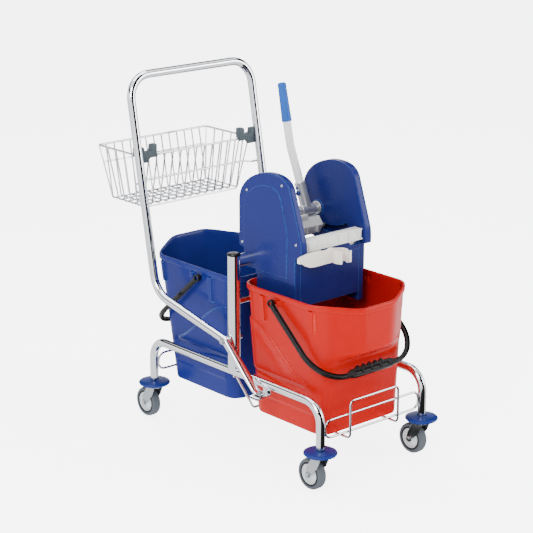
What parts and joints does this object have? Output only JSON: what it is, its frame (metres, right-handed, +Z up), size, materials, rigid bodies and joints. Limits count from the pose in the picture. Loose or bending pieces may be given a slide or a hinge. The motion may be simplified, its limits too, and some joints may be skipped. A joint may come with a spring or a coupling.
{
  "type": "mop bucket trolley with wringer",
  "caption": "Mopping trolley: tube frame on swivel casters, clean and dirty water buckets, geared press wringer with lever, push handle and wire basket.",
  "frame": {"origin": "on the floor, under the middle of the whole trolley", "axes": "+Z up; +Y towards the push handle and basket; -Y towards the wringer bucket's spout; +X across, from the left wheels to the right wheels"},
  "size_m": [0.4386, 0.9106, 0.9355],
  "materials": {
    "chrome_tube": "bright chrome plate",
    "zinc_steel": "zinc plated",
    "black_plastic": "moulded",
    "red_plastic": "satin moulded",
    "blue_plastic": "satin moulded",
    "press_blue_plastic": "satin moulded",
    "bumper_plastic": "moulded",
    "grip_vinyl": "dipped vinyl",
    "white_plastic": "moulded",
    "cream_plastic": "moulded",
    "white_paint": "powder coat",
    "slate_plastic": "moulded",
    "tyre_rubber": "matte",
    "gear_plastic": "moulded"
  },
  "bodies": {
    "frame": {"left_side_frame": "chrome_tube", "right_side_frame": "chrome_tube", "left_post": "chrome_tube", "right_post": "chrome_tube", "left_post_cap": "black_plastic", "right_post_cap": "black_plastic", "left_post_bolt": "zinc_steel", "right_post_bolt": "zinc_steel", "left_tab_bolt": "zinc_steel", "right_tab_bolt": "zinc_steel", "left_basket_clip": "slate_plastic", "right_basket_clip": "slate_plastic", "push_handle": "chrome_tube", "upper_crossbar": "chrome_tube", "lower_crossbar": "chrome_tube", "front_wire_loop": "chrome_tube", "rear_wire_loop": "chrome_tube", "bucket_cradle": "chrome_tube", "middle_hanger": "chrome_tube", "wire_basket": "chrome_tube", "front_left_bumper": "bumper_plastic", "front_right_bumper": "bumper_plastic", "rear_left_bumper": "bumper_plastic", "rear_right_bumper": "bumper_plastic"},
    "front_left_swivel": {"front_left_fork": "zinc_steel", "front_left_axle": "zinc_steel"},
    "front_left_wheel": {"front_left_hub": "white_plastic", "front_left_tyre": "tyre_rubber"},
    "front_right_swivel": {"front_right_fork": "zinc_steel", "front_right_axle": "zinc_steel"},
    "front_right_wheel": {"front_right_hub": "white_plastic", "front_right_tyre": "tyre_rubber"},
    "rear_left_swivel": {"rear_left_fork": "zinc_steel", "rear_left_axle": "zinc_steel"},
    "rear_left_wheel": {"rear_left_hub": "white_plastic", "rear_left_tyre": "tyre_rubber"},
    "rear_right_swivel": {"rear_right_fork": "zinc_steel", "rear_right_axle": "zinc_steel"},
    "rear_right_wheel": {"rear_right_hub": "white_plastic", "rear_right_tyre": "tyre_rubber"},
    "red_bucket": {"red_bucket": "red_plastic"},
    "red_bail": {"red_bail": "black_plastic"},
    "blue_bucket": {"blue_bucket": "blue_plastic"},
    "blue_bail": {"blue_bail": "black_plastic"},
    "wringer": {"wringer_body": "press_blue_plastic", "left_cheek_cover": "press_blue_plastic", "right_cheek_cover": "press_blue_plastic", "front_jaw": "white_plastic", "mop_holder": "cream_plastic"},
    "lever": {"lever_shaft": "zinc_steel", "lever_socket": "zinc_steel", "lever_tube": "white_paint", "lever_pin": "press_blue_plastic", "lever_grip": "grip_vinyl", "left_pinion": "gear_plastic", "right_pinion": "gear_plastic"},
    "jaw": {"left_jaw_arm": "gear_plastic", "right_jaw_arm": "gear_plastic", "rear_jaw": "white_plastic"}
  },
  "joints": [
    {"name": "front_left_swivel_turn", "type": "hinge", "parent": "frame", "child": "front_left_swivel", "pos_m": [-0.175, -0.41325, 0.1], "axis": [0, 0, 1], "continuous": true},
    {"name": "front_left_wheel_spin", "type": "hinge", "parent": "front_left_swivel", "child": "front_left_wheel", "pos_m": [-0.175, -0.38525, 0.04], "axis": [1, 0, 0], "continuous": true},
    {"name": "front_right_swivel_turn", "type": "hinge", "parent": "frame", "child": "front_right_swivel", "pos_m": [0.175, -0.41325, 0.1], "axis": [0, 0, 1], "continuous": true},
    {"name": "front_right_wheel_spin", "type": "hinge", "parent": "front_right_swivel", "child": "front_right_wheel", "pos_m": [0.175, -0.38525, 0.04], "axis": [1, 0, 0], "continuous": true},
    {"name": "rear_left_swivel_turn", "type": "hinge", "parent": "frame", "child": "rear_left_swivel", "pos_m": [-0.175, 0.23875, 0.1], "axis": [0, 0, 1], "continuous": true},
    {"name": "rear_left_wheel_spin", "type": "hinge", "parent": "rear_left_swivel", "child": "rear_left_wheel", "pos_m": [-0.175, 0.26675, 0.04], "axis": [1, 0, 0], "continuous": true},
    {"name": "rear_right_swivel_turn", "type": "hinge", "parent": "frame", "child": "rear_right_swivel", "pos_m": [0.175, 0.23875, 0.1], "axis": [0, 0, 1], "continuous": true},
    {"name": "rear_right_wheel_spin", "type": "hinge", "parent": "rear_right_swivel", "child": "rear_right_wheel", "pos_m": [0.175, 0.26675, 0.04], "axis": [1, 0, 0], "continuous": true},
    {"name": "red_bucket_lift", "type": "slide", "parent": "frame", "child": "red_bucket", "axis": [0, 0, 1], "range_m": [0, 0.03]},
    {"name": "red_bail_swing", "type": "hinge", "parent": "red_bucket", "child": "red_bail", "pos_m": [0, -0.22525, 0.433], "axis": [-1, 0, 0], "range_deg": [0, 100]},
    {"name": "blue_bucket_lift", "type": "slide", "parent": "frame", "child": "blue_bucket", "axis": [0, 0, 1], "range_m": [0, 0.03]},
    {"name": "blue_bail_swing", "type": "hinge", "parent": "blue_bucket", "child": "blue_bail", "pos_m": [0, 0.05875, 0.433], "axis": [1, 0, 0], "range_deg": [0, 60]},
    {"name": "wringer_lift", "type": "slide", "parent": "frame", "child": "wringer", "axis": [0, 0, 1], "range_m": [0, 0.15]},
    {"name": "lever_turn", "type": "hinge", "parent": "wringer", "child": "lever", "pos_m": [0, -0.10425, 0.606], "axis": [1, 0, 0], "range_deg": [0, 75]},
    {"name": "jaw_swing", "type": "hinge", "parent": "wringer", "child": "jaw", "pos_m": [0, -0.14803, 0.68975], "axis": [1, 0, 0], "range_deg": [-40.6, 0]}
  ],
  "couplings": [
    {"joint": "jaw_swing", "follows": "lever_turn", "ratio": -0.53658}
  ]
}
